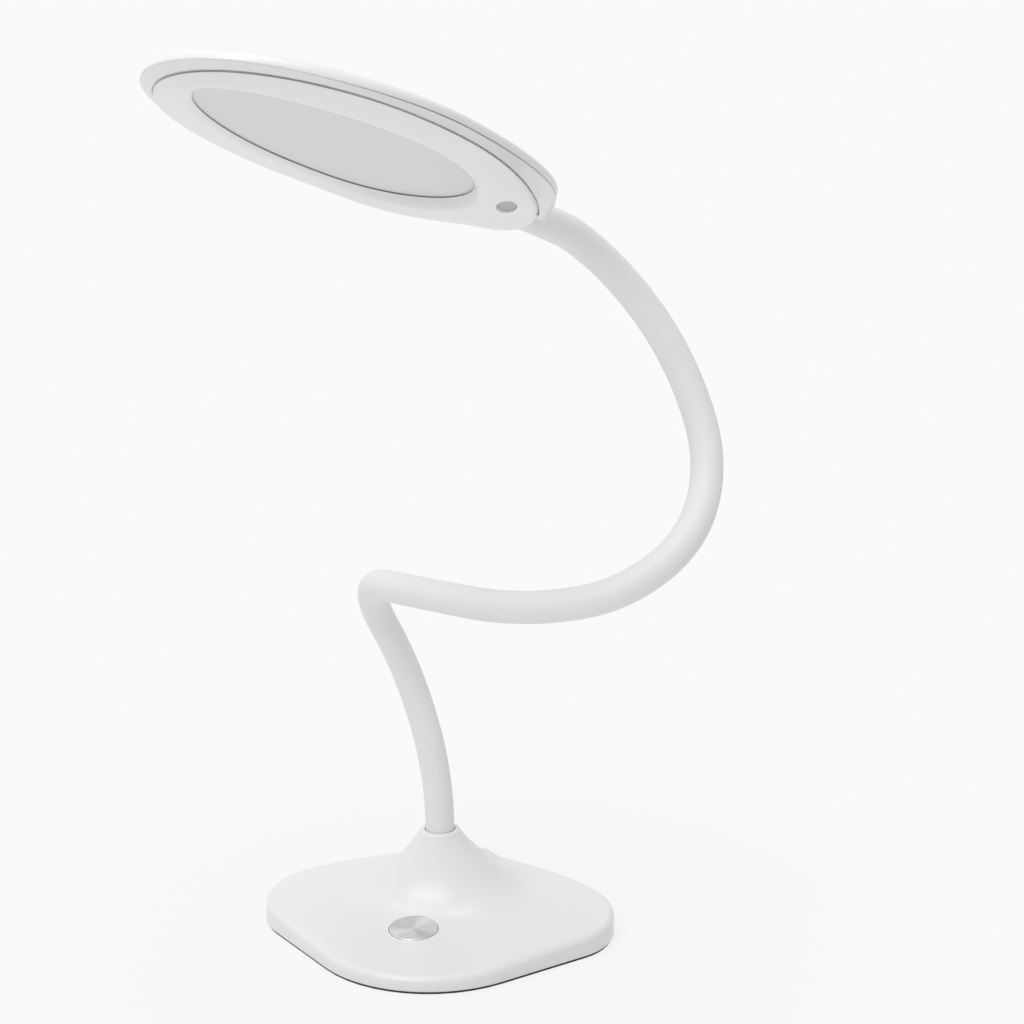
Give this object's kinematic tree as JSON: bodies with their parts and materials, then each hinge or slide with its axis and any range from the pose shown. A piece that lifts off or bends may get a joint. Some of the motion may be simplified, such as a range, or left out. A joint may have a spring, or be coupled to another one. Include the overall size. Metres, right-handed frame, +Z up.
{
  "type": "desk lamp",
  "caption": "White desk lamp with a weighted four-cornered base, a metal push button, a bendable sleeved neck and a flat oval light head with an opal window",
  "frame": {"origin": "on the desk plane, under the axis of the post", "axes": "+Z up, front with the button towards -Y, power inlet towards +Y"},
  "size_m": [0.219, 0.2773, 0.4045],
  "materials": {
    "white_shell": "satin",
    "sleeve_silicone": "matte silicone",
    "core_steel": "bare",
    "lead_jacket": "smooth jacket",
    "cover_steel": "satin",
    "pad_rubber": "matte",
    "weight_iron": "as cast",
    "fastener_steel": "plated",
    "black_plastic": "moulded",
    "ivory_plastic": "moulded",
    "grey_plastic": "moulded",
    "board_laminate": "satin",
    "button_metal": "spun with fine rings",
    "opal_diffuser": "opal, satin",
    "light_board": "white coated",
    "light_chips": "clear coat over yellow",
    "spreader_metal": "bare sheet"
  },
  "bodies": {
    "base": {"base_shell": "white_shell", "base_cover": "cover_steel", "base_pad": "pad_rubber", "weight_plate": "weight_iron", "base_screws": "fastener_steel", "dc_inlet": "black_plastic", "control_board": "board_laminate", "tact_switch": "black_plastic", "supply_lead": "lead_jacket", "lamp_lead": "lead_jacket", "neck_ferrule": "fastener_steel", "neck_nut": "fastener_steel", "neck_sleeve_1": "sleeve_silicone", "neck_core_1": "core_steel", "neck_lead_1": "lead_jacket"},
    "button": {"button_cap": "button_metal", "tact_plunger": "ivory_plastic"},
    "neck_2": {"neck_sleeve_2": "sleeve_silicone", "neck_core_2": "core_steel", "neck_lead_2": "lead_jacket"},
    "neck_3": {"neck_sleeve_3": "sleeve_silicone", "neck_core_3": "core_steel", "neck_lead_3": "lead_jacket"},
    "neck_4": {"neck_sleeve_4": "sleeve_silicone", "neck_core_4": "core_steel", "neck_lead_4": "lead_jacket"},
    "neck_5": {"neck_sleeve_5": "sleeve_silicone", "neck_core_5": "core_steel", "neck_lead_5": "lead_jacket"},
    "neck_6": {"neck_sleeve_6": "sleeve_silicone", "neck_core_6": "core_steel", "neck_lead_6": "lead_jacket"},
    "neck_7": {"neck_sleeve_7": "sleeve_silicone", "neck_core_7": "core_steel", "neck_lead_7": "lead_jacket"},
    "neck_8": {"neck_sleeve_8": "sleeve_silicone", "neck_core_8": "core_steel", "neck_lead_8": "lead_jacket"},
    "head": {"neck_sleeve_9": "sleeve_silicone", "neck_core_9": "core_steel", "neck_lead_9": "lead_jacket", "neck_clamp": "grey_plastic", "clamp_screw": "fastener_steel", "screw_plug": "white_shell", "head_plate": "white_shell", "head_rim": "white_shell", "head_top_cover": "white_shell", "diffuser": "opal_diffuser", "light_board": "light_board", "light_chips": "light_chips", "heat_spreader": "spreader_metal", "spreader_screws": "fastener_steel"}
  },
  "joints": [
    {"name": "button_press", "type": "slide", "parent": "base", "child": "button", "axis": [0, 0.0655, -0.9979], "range_m": [0, 0.0004], "stiffness_N_per_m": 2500, "springref_m": -0.0004},
    {"name": "neck_bend_1", "type": "hinge", "parent": "base", "child": "neck_2", "pos_m": [-0.00778, 0.00165, 0.09821], "axis": [-0.2079, -0.9781, 0], "range_deg": [-20, 20]},
    {"name": "neck_bend_2", "type": "hinge", "parent": "neck_2", "child": "neck_3", "pos_m": [-0.02356, -0.00942, 0.14795], "axis": [0.0824, -0.8853, -0.4577], "range_deg": [-20, 20]},
    {"name": "neck_bend_3", "type": "hinge", "parent": "neck_3", "child": "neck_4", "pos_m": [-0.01371, -0.04843, 0.1785], "axis": [0.6299, 0.5713, 0.5262], "range_deg": [-20, 20]},
    {"name": "neck_bend_4", "type": "hinge", "parent": "neck_4", "child": "neck_5", "pos_m": [0.02996, -0.07841, 0.18073], "axis": [0.252, 0.9204, -0.2989], "range_deg": [-20, 20]},
    {"name": "neck_bend_5", "type": "hinge", "parent": "neck_5", "child": "neck_6", "pos_m": [0.08201, -0.09046, 0.18642], "axis": [-0.247, -0.9104, 0.3319], "range_deg": [-20, 20]},
    {"name": "neck_bend_6", "type": "hinge", "parent": "neck_6", "child": "neck_7", "pos_m": [0.12277, -0.07339, 0.21201], "axis": [-0.8671, 0.4968, -0.0372], "range_deg": [-20, 20]},
    {"name": "neck_bend_7", "type": "hinge", "parent": "neck_7", "child": "neck_8", "pos_m": [0.1252, -0.04505, 0.25557], "axis": [0.6427, -0.6581, 0.3922], "range_deg": [-20, 20]},
    {"name": "neck_bend_8", "type": "hinge", "parent": "neck_8", "child": "head", "pos_m": [0.10101, -0.04424, 0.30306], "axis": [-0.3301, -0.8224, -0.4634], "range_deg": [-20, 20]}
  ]
}
